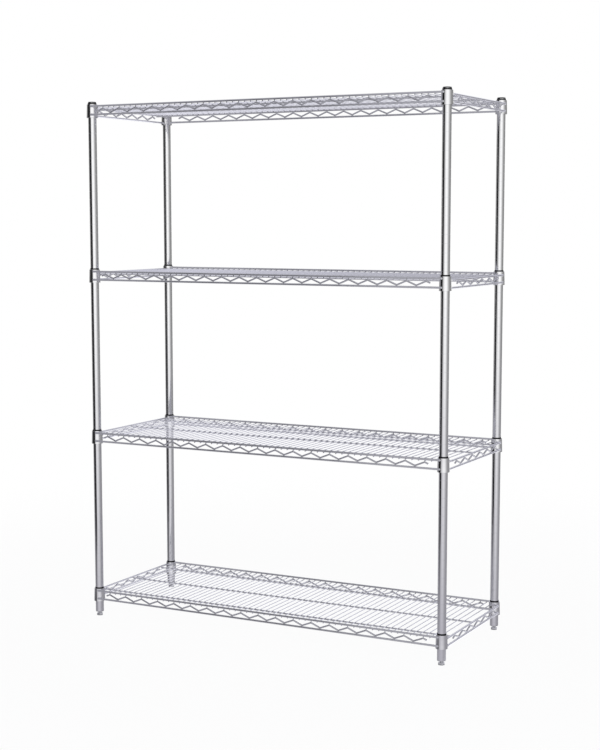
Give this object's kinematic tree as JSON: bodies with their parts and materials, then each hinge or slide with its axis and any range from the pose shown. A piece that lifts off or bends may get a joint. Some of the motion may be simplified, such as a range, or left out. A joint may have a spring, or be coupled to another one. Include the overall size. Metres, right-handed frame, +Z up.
{
  "type": "wire shelving unit",
  "caption": "Free-standing chrome wire shelving unit: grooved round posts on levelling feet carry welded wire shelves whose tapered corner collars wedge on split sleeves.",
  "frame": {"origin": "on the floor, midway between the four posts", "axes": "+Z up along the posts, +X along the shelves' length to the right, -Y towards the front"},
  "size_m": [1.2174, 0.4584, 1.6205],
  "materials": {
    "chrome_post": "bright chrome plate",
    "chrome_collar": "bright chrome plate",
    "chrome_wire": "bright chrome plate",
    "zinc_steel": "zinc plate",
    "black_plastic": "moulded",
    "grey_plastic": "moulded"
  },
  "bodies": {
    "frame": {"post_front_left": "chrome_post", "post_cap_front_left": "black_plastic", "foot_insert_front_left": "grey_plastic", "post_front_right": "chrome_post", "post_cap_front_right": "black_plastic", "foot_insert_front_right": "grey_plastic", "post_back_left": "chrome_post", "post_cap_back_left": "black_plastic", "foot_insert_back_left": "grey_plastic", "post_back_right": "chrome_post", "post_cap_back_right": "black_plastic", "foot_insert_back_right": "grey_plastic", "shelf_1_left_sleeves": "black_plastic", "shelf_1_right_sleeves": "black_plastic", "shelf_2_left_sleeves": "black_plastic", "shelf_2_right_sleeves": "black_plastic", "shelf_3_left_sleeves": "black_plastic", "shelf_3_right_sleeves": "black_plastic", "shelf_4_left_sleeves": "black_plastic", "shelf_4_right_sleeves": "black_plastic"},
    "shelf_1": {"shelf_1_corner_collars": "chrome_collar", "shelf_1_long_rim_wires": "chrome_wire", "shelf_1_side_rim_wires": "chrome_wire", "shelf_1_long_snake_wires": "chrome_wire", "shelf_1_side_snake_wires": "chrome_wire", "shelf_1_deck_wires": "chrome_wire", "shelf_1_stringers": "chrome_wire"},
    "shelf_2": {"shelf_2_corner_collars": "chrome_collar", "shelf_2_long_rim_wires": "chrome_wire", "shelf_2_side_rim_wires": "chrome_wire", "shelf_2_long_snake_wires": "chrome_wire", "shelf_2_side_snake_wires": "chrome_wire", "shelf_2_deck_wires": "chrome_wire", "shelf_2_stringers": "chrome_wire"},
    "shelf_3": {"shelf_3_corner_collars": "chrome_collar", "shelf_3_long_rim_wires": "chrome_wire", "shelf_3_side_rim_wires": "chrome_wire", "shelf_3_long_snake_wires": "chrome_wire", "shelf_3_side_snake_wires": "chrome_wire", "shelf_3_deck_wires": "chrome_wire", "shelf_3_stringers": "chrome_wire"},
    "shelf_4": {"shelf_4_corner_collars": "chrome_collar", "shelf_4_long_rim_wires": "chrome_wire", "shelf_4_side_rim_wires": "chrome_wire", "shelf_4_long_snake_wires": "chrome_wire", "shelf_4_side_snake_wires": "chrome_wire", "shelf_4_deck_wires": "chrome_wire", "shelf_4_stringers": "chrome_wire"},
    "floor_pad_front_left": {"floor_pad_front_left": "grey_plastic"},
    "levelling_stem_front_left": {"levelling_stem_front_left": "zinc_steel"},
    "floor_pad_front_right": {"floor_pad_front_right": "grey_plastic"},
    "levelling_stem_front_right": {"levelling_stem_front_right": "zinc_steel"},
    "floor_pad_back_left": {"floor_pad_back_left": "grey_plastic"},
    "levelling_stem_back_left": {"levelling_stem_back_left": "zinc_steel"},
    "floor_pad_back_right": {"floor_pad_back_right": "grey_plastic"},
    "levelling_stem_back_right": {"levelling_stem_back_right": "zinc_steel"}
  },
  "joints": [
    {"name": "shelf_1_lift", "type": "slide", "parent": "frame", "child": "shelf_1", "axis": [0, 0, 1], "range_m": [0, 0.46]},
    {"name": "shelf_2_lift", "type": "slide", "parent": "frame", "child": "shelf_2", "axis": [0, 0, 1], "range_m": [0, 0.46]},
    {"name": "shelf_3_lift", "type": "slide", "parent": "frame", "child": "shelf_3", "axis": [0, 0, 1], "range_m": [0, 0.46]},
    {"name": "shelf_4_lift", "type": "slide", "parent": "frame", "child": "shelf_4", "axis": [0, 0, 1], "range_m": [0, 0.1]},
    {"name": "foot_height_front_left", "type": "slide", "parent": "frame", "child": "floor_pad_front_left", "axis": [0, 0, 1], "range_m": [-0.02, 0.005]},
    {"name": "foot_turn_front_left", "type": "hinge", "parent": "floor_pad_front_left", "child": "levelling_stem_front_left", "pos_m": [-0.5905, -0.211, 0.02], "axis": [0, 0, 1], "range_deg": [-4801, 1201]},
    {"name": "foot_height_front_right", "type": "slide", "parent": "frame", "child": "floor_pad_front_right", "axis": [0, 0, 1], "range_m": [-0.02, 0.005]},
    {"name": "foot_turn_front_right", "type": "hinge", "parent": "floor_pad_front_right", "child": "levelling_stem_front_right", "pos_m": [0.5905, -0.211, 0.02], "axis": [0, 0, 1], "range_deg": [-4801, 1201]},
    {"name": "foot_height_back_left", "type": "slide", "parent": "frame", "child": "floor_pad_back_left", "axis": [0, 0, 1], "range_m": [-0.02, 0.005]},
    {"name": "foot_turn_back_left", "type": "hinge", "parent": "floor_pad_back_left", "child": "levelling_stem_back_left", "pos_m": [-0.5905, 0.211, 0.02], "axis": [0, 0, 1], "range_deg": [-4801, 1201]},
    {"name": "foot_height_back_right", "type": "slide", "parent": "frame", "child": "floor_pad_back_right", "axis": [0, 0, 1], "range_m": [-0.02, 0.005]},
    {"name": "foot_turn_back_right", "type": "hinge", "parent": "floor_pad_back_right", "child": "levelling_stem_back_right", "pos_m": [0.5905, 0.211, 0.02], "axis": [0, 0, 1], "range_deg": [-4801, 1201]}
  ],
  "couplings": [
    {"joint": "foot_turn_front_left", "follows": "foot_height_front_left", "rad_per_m": 4188.8},
    {"joint": "foot_turn_front_right", "follows": "foot_height_front_right", "rad_per_m": 4188.8},
    {"joint": "foot_turn_back_left", "follows": "foot_height_back_left", "rad_per_m": 4188.8},
    {"joint": "foot_turn_back_right", "follows": "foot_height_back_right", "rad_per_m": 4188.8}
  ]
}
